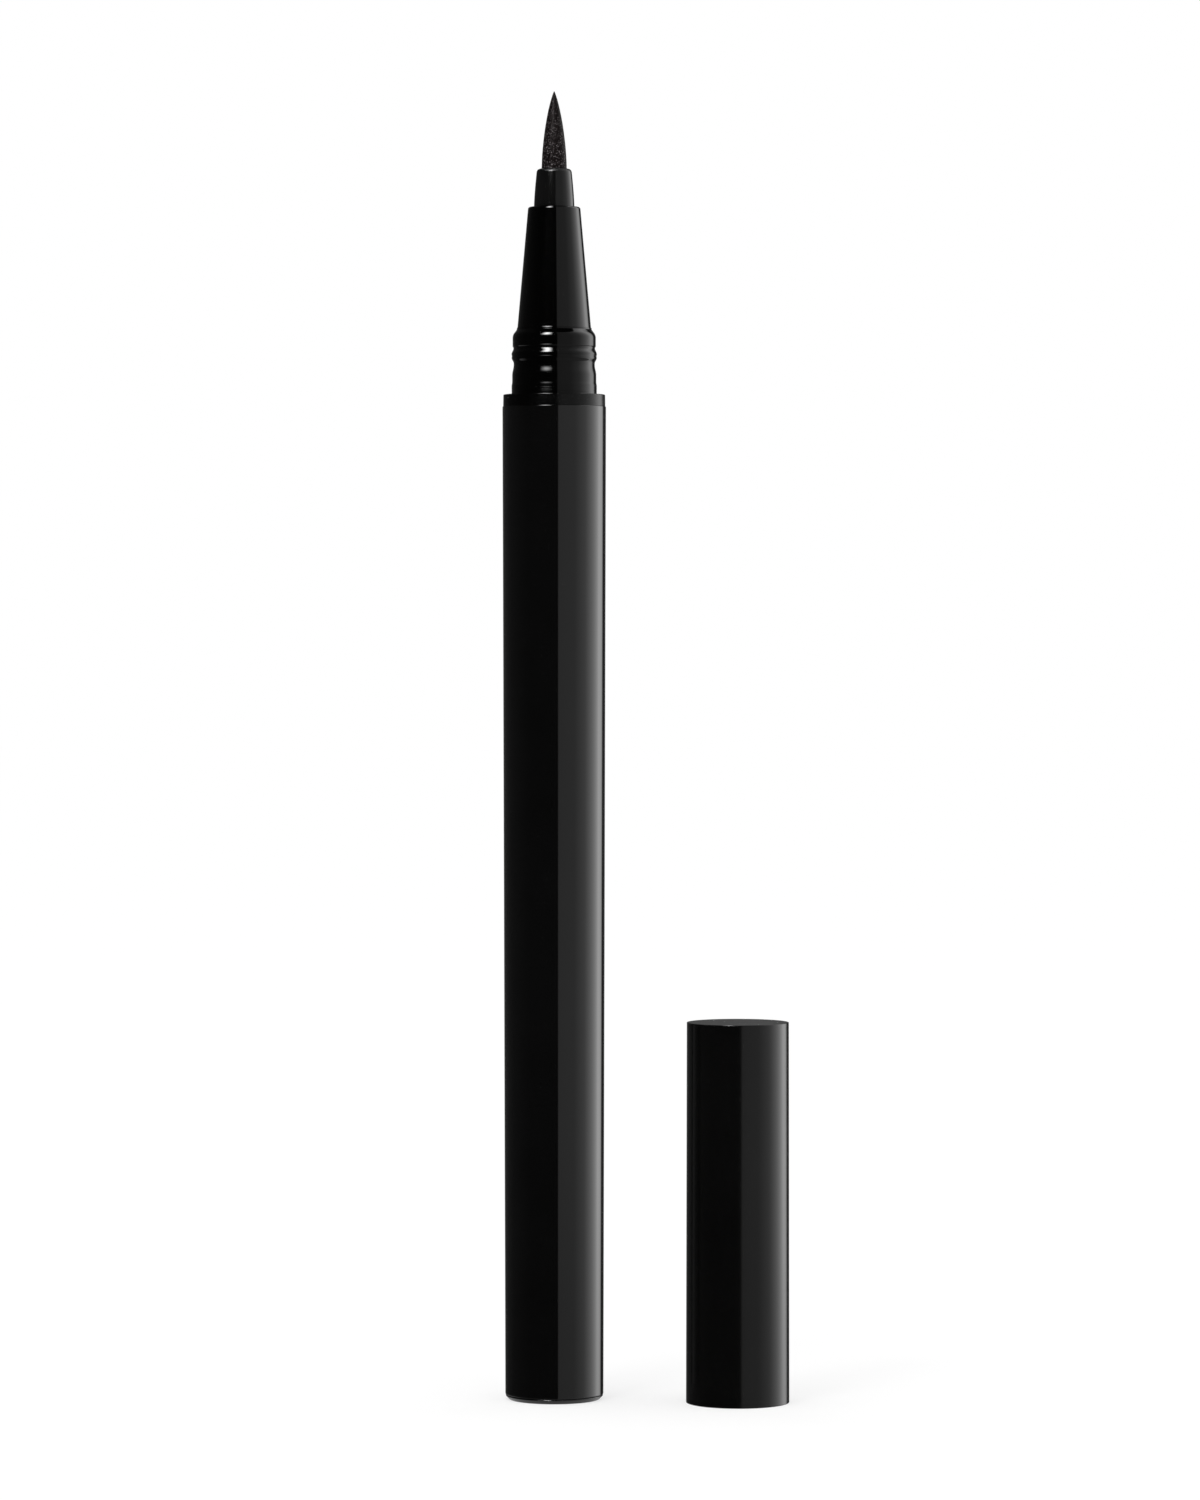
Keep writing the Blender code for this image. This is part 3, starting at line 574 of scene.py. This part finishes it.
def make_inner_cap():
    low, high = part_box("inner_cap")
    flange_radius = high.x - CAP_AXIS.x
    flange_top = high.z - INNER_FLANGE_DROP
    flange_bottom = flange_top - INNER_FLANGE_THICKNESS
    ceiling = high.z - INNER_CAP_TOP_THICKNESS
    corners = (
        (0, high.z, 0),
        (INNER_CAP_RADIUS, high.z, INNER_CAP_TOP_ROUND),
        (INNER_CAP_RADIUS, flange_top, INNER_FLANGE_ROUND),
        (flange_radius, flange_top, INNER_FLANGE_ROUND),
        (flange_radius, flange_bottom, INNER_FLANGE_ROUND),
        (INNER_CAP_RADIUS, flange_bottom, INNER_FLANGE_ROUND),
        (INNER_CAP_RADIUS, low.z, INNER_CAP_MOUTH_ROUND),
        (INNER_CAP_BORE_RADIUS, low.z, INNER_CAP_MOUTH_ROUND),
        (INNER_CAP_BORE_RADIUS, ceiling, INNER_CAP_MOUTH_ROUND),
        (0, ceiling, 0),
    )
    return lathe("inner_cap_moulding", rounded(corners), axis=CAP_AXIS)


def make_retainer():
    low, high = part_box("inner_cap_retainer")
    radius = high.x - CAP_AXIS.x
    corners = (
        (RETAINER_BORE_RADIUS, high.z, INNER_FLANGE_ROUND),
        (radius, high.z, INNER_FLANGE_ROUND),
        (radius, low.z, INNER_FLANGE_ROUND),
        (RETAINER_BORE_RADIUS + RETAINER_CHAMFER, low.z, INNER_FLANGE_ROUND),
        (RETAINER_BORE_RADIUS, low.z + RETAINER_CHAMFER, INNER_FLANGE_ROUND),
    )
    return lathe("retainer_ring", rounded(corners, closed=True), closed=True, axis=CAP_AXIS)


def make_spring():
    """The round wire coil between the inner cap's flange and the cap's ceiling."""
    low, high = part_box("cap_spring")
    coil_radius = (high.x - low.x) / 2 - SPRING_WIRE_RADIUS
    bottom = low.z + SPRING_WIRE_RADIUS
    top = CAP_CEILING - SEAM - SPRING_WIRE_RADIUS
    curve = bpy.data.curves.new("spring_coil", "CURVE")
    curve.dimensions = "3D"
    curve.bevel_depth = SPRING_WIRE_RADIUS
    curve.bevel_resolution = SPRING_WIRE_FINENESS
    curve.use_fill_caps = True
    wire = curve.splines.new("POLY")
    steps = SPRING_TURNS * SPRING_POINTS_PER_TURN
    wire.points.add(steps)
    for step in range(steps + 1):
        angle = math.tau * step / SPRING_POINTS_PER_TURN
        x = CAP_AXIS.x + coil_radius * math.cos(angle)
        y = CAP_AXIS.y + coil_radius * math.sin(angle)
        wire.points[step].co = (x, y, bottom + (top - bottom) * step / steps, 1)
    guide = bpy.data.objects.new("spring_guide", curve)
    bpy.context.scene.collection.objects.link(guide)
    graph = bpy.context.evaluated_depsgraph_get()
    mesh = bpy.data.meshes.new_from_object(guide.evaluated_get(graph))
    bpy.data.objects.remove(guide)
    shape = bmesh.new()
    shape.from_mesh(mesh)
    bmesh.ops.remove_doubles(shape, verts=shape.verts, dist=MERGE_DISTANCE)
    bpy.data.meshes.remove(mesh)
    return add_object("spring_wire", shape)


def make_sponge():
    low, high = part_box("overflow_sponge")
    corners = (
        (SPONGE_BORE_RADIUS, high.z, SPONGE_ROUND),
        (high.x, high.z, SPONGE_ROUND),
        (high.x, low.z, SPONGE_ROUND),
        (SPONGE_BORE_RADIUS, low.z, SPONGE_ROUND),
    )
    outline = rounded(corners, closed=True)
    return lathe("sponge_sleeve", outline, closed=True, segments=SMALL_SEGMENTS)


def add_node(tree, kind, inputs=(), **settings):
    """Adds a shader node. An input takes a value or the socket that feeds it."""
    node = tree.nodes.new(kind)
    for name, value in settings.items():
        setattr(node, name, value)
    for name, value in dict(inputs).items():
        if isinstance(value, bpy.types.NodeSocket):
            tree.links.new(value, node.inputs[name])
        else:
            node.inputs[name].default_value = value
    return node


def new_material(name):
    """A node material with its tree, shader and the point that is shaded, in the piece's frame."""
    material = bpy.data.materials.new(name)
    material.use_nodes = True
    tree = material.node_tree
    shader = tree.nodes["Principled BSDF"]
    point = add_node(tree, "ShaderNodeTexCoord").outputs["Object"]
    return material, tree, shader, point


def noise_at(tree, point, size, detail=NOISE_DETAIL):
    """Noise whose lumps measure about size."""
    inputs = {"Vector": point, "Scale": 1 / size, "Detail": detail}
    return add_node(tree, "ShaderNodeTexNoise", inputs).outputs["Fac"]


def spread(tree, value, first, last, values=NOISE_VALUES):
    """Maps a value between two values to one from first to last, and stops at its ends."""
    low, high = values
    inputs = {"Value": value, "From Min": low, "From Max": high, "To Min": first, "To Max": last}
    return add_node(tree, "ShaderNodeMapRange", inputs).outputs["Result"]


def height_of(tree, point):
    return add_node(tree, "ShaderNodeSeparateXYZ", {"Vector": point}).outputs["Z"]


def product(tree, first, second):
    node = add_node(tree, "ShaderNodeMath", {0: first, 1: second}, operation="MULTIPLY")
    return node.outputs[0]


def larger(tree, first, second):
    node = add_node(tree, "ShaderNodeMath", {0: first, 1: second}, operation="MAXIMUM")
    return node.outputs[0]


def blend_colours(tree, share, first, second):
    """Blends two colours, each red, green and blue or the socket that feeds it. The Mix node
    keeps its colours at 6 and 7 of its inputs and 2 of its outputs."""
    inputs = {0: share}
    for place_in_node, colour in ((6, first), (7, second)):
        fed = isinstance(colour, bpy.types.NodeSocket)
        inputs[place_in_node] = colour if fed else (*colour, 1)
    return add_node(tree, "ShaderNodeMix", inputs, data_type="RGBA").outputs[2]


def blend_numbers(tree, share, first, second):
    """Blends two numbers. The Mix node keeps them at 2 and 3 of its inputs."""
    inputs = {0: share, 2: first, 3: second}
    return add_node(tree, "ShaderNodeMix", inputs, data_type="FLOAT").outputs[0]


def roughen(tree, shader, height, rise):
    """Feeds the shader a bump of that height."""
    inputs = {"Height": height, "Distance": rise, "Strength": 1.0}
    bump = add_node(tree, "ShaderNodeBump", inputs)
    tree.links.new(bump.outputs["Normal"], shader.inputs["Normal"])


def plastic(name, tone, roughness, specular, peel_size, peel_rise):
    """Moulded plastic: a faintly uneven tone and gloss, and the peel of its moulded skin."""
    material, tree, shader, point = new_material(name)
    cloud = noise_at(tree, point, peel_size * PEELS_PER_CLOUD)
    darker, lighter = [[channel * share for channel in tone] for share in PLASTIC_SPREAD]
    colour = blend_colours(tree, spread(tree, cloud, 0, 1), darker, lighter)
    tree.links.new(colour, shader.inputs["Base Color"])
    lumps = noise_at(tree, point, peel_size / GLOSS_LUMPS_PER_PEEL, FINE_NOISE_DETAIL)
    glossier, duller = [roughness * share for share in PLASTIC_SPREAD]
    tree.links.new(spread(tree, lumps, glossier, duller), shader.inputs["Roughness"])
    roughen(tree, shader, noise_at(tree, point, peel_size), peel_rise)
    shader.inputs["Specular IOR Level"].default_value = specular
    return material


def matt_beyond(material, height, fade, roughness):
    """Turns a plastic matt above a height, or below it where the fade is negative."""
    tree = material.node_tree
    shader = tree.nodes["Principled BSDF"]
    point = add_node(tree, "ShaderNodeTexCoord").outputs["Object"]
    share = spread(tree, height_of(tree, point), 0, 1, (height, height + fade))
    gloss = shader.inputs["Roughness"].links[0].from_socket
    tree.links.new(blend_numbers(tree, share, gloss, roughness), shader.inputs["Roughness"])


def felt(name, tip_height, root_height):
    """Black pressed fibres, wet with ink, with fine specks of painted glint in their colour."""
    material, tree, shader, point = new_material(name)
    fibres = noise_at(tree, point, FIBRE_SIZE)
    inputs = {"Vector": point, "Scale": 1 / PAINTED_GLINT_CELL_SIZE}
    cells = add_node(tree, "ShaderNodeTexVoronoi", inputs).outputs
    glint_luck = add_node(tree, "ShaderNodeSeparateColor", {"Color": cells["Color"]}).outputs["Red"]
    glint_dot = spread(tree, cells["Distance"], 1, 0, PAINTED_GLINT_DISTANCES)
    glint_pick = spread(tree, glint_luck, 0, 1, PAINTED_GLINT_LUCK)
    heights = (root_height, tip_height)
    fade = spread(tree, height_of(tree, point), 1, PAINTED_GLINT_SHARE_AT_TIP, heights)
    share = product(tree, product(tree, glint_dot, glint_pick), fade)
    ground = blend_colours(tree, spread(tree, fibres, 0, 1), FELT_DARK, FELT_PALE)
    # Painted glints: the specks lighten the base colour where the fibres would catch the light.
    colour = blend_colours(tree, share, ground, PAINTED_GLINT_COLOUR)
    tree.links.new(colour, shader.inputs["Base Color"])
    tree.links.new(spread(tree, fibres, *FELT_ROUGHNESS), shader.inputs["Roughness"])
    shader.inputs["Specular IOR Level"].default_value = FELT_SPECULAR
    roughen(tree, shader, fibres, FIBRE_RISE)
    return material


def steel(name):
    """Bright drawn steel with fine drawing marks."""
    material, tree, shader, point = new_material(name)
    marks = noise_at(tree, point, STEEL_MARK_SIZE, FINE_NOISE_DETAIL)
    colour = blend_colours(tree, spread(tree, marks, 0, 1), STEEL_DARK, STEEL_PALE)
    tree.links.new(colour, shader.inputs["Base Color"])
    tree.links.new(spread(tree, marks, *STEEL_ROUGHNESS), shader.inputs["Roughness"])
    shader.inputs["Metallic"].default_value = 1
    return material


def foam(name):
    """White open foam with fine pores, with painted shade in their hollows."""
    material, tree, shader, point = new_material(name)
    inputs = {"Vector": point, "Scale": 1 / PORE_SIZE}
    pores = add_node(tree, "ShaderNodeTexVoronoi", inputs).outputs["Distance"]
    pore_shade = [channel * FOAM_PORE_SHADE_SHARE for channel in FOAM_WHITE]
    colour = blend_colours(tree, spread(tree, pores, 0, 1, PORE_DISTANCES), FOAM_WHITE, pore_shade)
    tree.links.new(colour, shader.inputs["Base Color"])
    shader.inputs["Roughness"].default_value = FOAM_ROUGHNESS
    roughen(tree, shader, pores, -PORE_DEPTH)
    return material


def make_materials():
    """All materials of the object, by name."""
    materials = {name: plastic(name, *finish) for name, finish in PLASTICS.items()}
    rim_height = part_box("nib_ferrule")[1].z - FERRULE_TOP_ROUND
    rim_fade = FERRULE_TOP_ROUND / 2
    matt_beyond(materials["ferrule_gloss"], rim_height, rim_fade, FERRULE_RIM_ROUGHNESS)
    collar_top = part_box("neck_sleeve")[1].z - SNAP_NECK_HEIGHT
    matt_beyond(materials["neck_gloss"], collar_top, -COLLAR_ROUND, COLLAR_ROUGHNESS)
    tip_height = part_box("nib")[1].z
    for name in ("nib_felt", "wick_fibre"):
        materials[name] = felt(name, tip_height, tip_height - NIB_EXPOSED_LENGTH)
    materials["bright_steel"] = steel("bright_steel")
    materials["sponge_foam"] = foam("sponge_foam")
    return materials


def dress_object(materials):
    """Every visible piece at full fineness, and materials for the pieces kept as they are. Gloss
    doesn't see the cap's pieces, because the photograph shows no reflection of them."""
    natural, metal = materials["natural_plastic"], materials["bright_steel"]
    place(make_barrel(), "barrel", "pen", materials["barrel_gloss"])
    place(make_tail_plug(), "tail_plug", "pen", materials["plug_gloss"])
    place(make_neck(), "neck_sleeve", "pen", materials["neck_gloss"])
    place(make_front_cone(), "front_cone", "pen", materials["cone_gloss"])
    place(make_ferrule(), "nib_ferrule", "pen", materials["ferrule_gloss"])
    place(make_nib(), "nib", "pen", materials["nib_felt"])
    cap_pieces = [
        place(make_cap_shell(), "cap_shell", "cap", materials["cap_gloss"]),
        place(make_inner_cap(), "inner_cap", "inner_cap", natural),
        place(make_retainer(), "inner_cap_retainer", "cap", natural),
    ]
    sponge = place(make_sponge(), "overflow_sponge", "pen", materials["sponge_foam"])
    spring = place(make_spring(), "cap_spring", "cap", metal)
    for piece in (*cap_pieces, spring):
        piece.visible_glossy = False
    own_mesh(spring)
    for node, name in KEPT_NODES.items():
        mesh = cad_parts[node].data
        mesh.materials.clear()
        mesh.materials.append(materials[name])


def glowing(name, obj):
    """Lets a studio card glow by the level kept at its points. Only gloss sees the card."""
    material = bpy.data.materials.new(name)
    material.use_nodes = True
    tree = material.node_tree
    tree.nodes.clear()
    level = add_node(tree, "ShaderNodeAttribute", attribute_name="level").outputs["Fac"]
    glow = add_node(tree, "ShaderNodeEmission", {"Strength": level}).outputs["Emission"]
    add_node(tree, "ShaderNodeOutputMaterial", {"Surface": glow})
    material.cycles.emission_sampling = "NONE"
    obj.data.materials.append(material)
    obj.visible_camera = False
    obj.visible_diffuse = False
    obj.visible_transmission = False
    obj.visible_volume_scatter = False
    obj.visible_shadow = False


def card(name, columns, rows, where, level_at):
    """A sheet through the points of a grid, with a level at each of them."""
    places = [where(column, row) for row in rows for column in columns]
    levels = [level_at(column, row) for row in rows for column in columns]
    width = len(columns)
    faces = [
        (i + row * width, i + 1 + row * width, i + 1 + (row + 1) * width, i + (row + 1) * width)
        for row in range(len(rows) - 1)
        for i in range(width - 1)
    ]
    mesh = bpy.data.meshes.new(name)
    mesh.from_pydata(places, [], faces)
    attribute = mesh.attributes.new("level", "FLOAT", "POINT")
    attribute.data.foreach_set("value", levels)
    obj = bpy.data.objects.new(name, mesh)
    bpy.context.scene.collection.objects.link(obj)
    glowing(name, obj)


def between(table, value):
    """The value that a table of (place, level) pairs gives between its places."""
    for (low, first), (high, second) in zip(table, table[1:]):
        if value <= high:
            return first + (second - first) * (value - low) / (high - low)
    return table[-1][1]


def towards(azimuth, radius, height):
    """The place at that azimuth, at a distance from the pen's axis and at a height."""
    angle = math.radians(azimuth)
    return (radius * math.sin(angle), -radius * math.cos(angle), height)


def make_tent():
    """A round tent of cards round the object and on below the floor, which gloss sees through.
    Its wall is dark at the left and behind, pale in front at the right, and bright at the right,
    and dims a little towards the floor. Far below, the ground and the wall behind are pale. The
    roof is dark."""
    columns = sorted({*range(-180, 181, TENT_STEP), *[azimuth for azimuth, _ in WALL_LEVELS]})
    faded = [(azimuth, level * WALL_FADE) for azimuth, level in WALL_LEVELS]
    fade_bottom, fade_top = WALL_FADE_HEIGHTS
    rows = (
        (TENT_MIDDLE, -TENT_DEPTH, GROUND_LEVELS),
        (TENT_RADIUS, -TENT_DEPTH, GROUND_LEVELS),
        (TENT_RADIUS, -TENT_DEPTH, LOW_WALL_LEVELS),
        (TENT_RADIUS, LOW_WALL_TOP, LOW_WALL_LEVELS),
        (TENT_RADIUS, LOW_WALL_TOP, faded),
        (TENT_RADIUS, fade_bottom, faded),
        (TENT_RADIUS, fade_top, WALL_LEVELS),
        (TENT_RADIUS, TENT_HEIGHT, WALL_LEVELS),
        (TENT_RADIUS, TENT_HEIGHT, ROOF_LEVELS),
        (TENT_MIDDLE, TENT_HEIGHT, ROOF_LEVELS),
    )
    card(
        "tent",
        columns,
        rows,
        lambda azimuth, row: towards(azimuth, row[0], row[1]),
        lambda azimuth, row: between(row[2], azimuth),
    )


def make_top_light():
    """The small bright softbox over the camera's left shoulder."""
    first, last = TOP_LIGHT_AZIMUTHS[0][0], TOP_LIGHT_AZIMUTHS[-1][0]
    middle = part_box("neck_sleeve")[1].z

    def where(azimuth, row):
        angle = math.radians(row[0])
        radius, rise = TOP_LIGHT_RADIUS * math.cos(angle), TOP_LIGHT_RADIUS * math.sin(angle)
        return towards(azimuth, radius, middle + rise)

    def level_at(azimuth, row):
        return row[1] * between(TOP_LIGHT_AZIMUTHS, azimuth)

    card("top_light", range(first, last + 1), TOP_LIGHT_LEVELS, where, level_at)


def seen(tree):
    """1 for what the camera, gloss or glass sees, and 0 for light that falls on the object."""
    path = add_node(tree, "ShaderNodeLightPath").outputs
    either = larger(tree, path["Is Camera Ray"], path["Is Glossy Ray"])
    return larger(tree, either, path["Is Transmission Ray"])


def make_world():
    """White where it is seen, and a plain soft light on the object."""
    world = bpy.data.worlds.new("studio_world")
    bpy.context.scene.world = world
    world.use_nodes = True
    tree = world.node_tree
    strength = spread(tree, seen(tree), WORLD_LEVEL, 1, (0, 1))
    background = tree.nodes["Background"]
    background.inputs["Color"].default_value = WHITE
    tree.links.new(strength, background.inputs["Strength"])


def blend_shaders(tree, share, first, second):
    """Blends two shaders, given as their nodes."""
    inputs = {"Fac": share, 1: first.outputs[0], 2: second.outputs[0]}
    return add_node(tree, "ShaderNodeMixShader", inputs)


def make_floor():
    """A white floor that keeps the object's shadow. From below it is clear."""
    shape = bmesh.new()
    bmesh.ops.create_grid(shape, x_segments=1, y_segments=1, size=FLOOR_SIZE / 2)
    floor = add_object("floor", shape)
    material = bpy.data.materials.new("floor_white")
    material.use_nodes = True
    tree = material.node_tree
    tree.nodes.clear()
    matte = add_node(tree, "ShaderNodeBsdfDiffuse", {"Color": WHITE})
    glow = add_node(tree, "ShaderNodeEmission", {"Color": WHITE, "Strength": 1})
    lit = blend_shaders(tree, FLOOR_SHADOW_SHARE, glow, matte)
    shown = blend_shaders(tree, seen(tree), matte, lit)
    clear = add_node(tree, "ShaderNodeBsdfTransparent")
    behind = add_node(tree, "ShaderNodeNewGeometry").outputs["Backfacing"]
    sided = blend_shaders(tree, behind, shown, clear)
    add_node(tree, "ShaderNodeOutputMaterial", {"Surface": sided.outputs[0]})
    floor.data.materials.append(material)
    floor.visible_glossy = False


def make_key_light():
    light = bpy.data.lights.new("key", "AREA")
    light.shape = "DISK"
    light.size = KEY_SIZE
    light.energy = KEY_WATTS
    key = bpy.data.objects.new("key", light)
    key.location = KEY_PLACE
    key.rotation_euler = (-Vector(KEY_PLACE)).to_track_quat("-Z", "Y").to_euler()
    key.visible_glossy = False
    bpy.context.scene.collection.objects.link(key)


def make_camera():
    camera = bpy.data.cameras.new("camera")
    camera.lens = LENS_MM
    camera.sensor_width = SENSOR_MM
    camera.clip_start = CAMERA_NEAR
    camera.clip_end = CAMERA_FAR
    obj = bpy.data.objects.new("camera", camera)
    obj.location = CAMERA_PLACE
    direction = Vector(CAMERA_AIM) - Vector(CAMERA_PLACE)
    obj.rotation_euler = direction.to_track_quat("-Z", "Y").to_euler()
    bpy.context.scene.collection.objects.link(obj)
    bpy.context.scene.camera = obj


make_camera()
make_world()
make_floor()
make_tent()
make_top_light()
make_key_light()
dress_object(make_materials())

bpy.context.scene.view_settings.view_transform = "Standard"
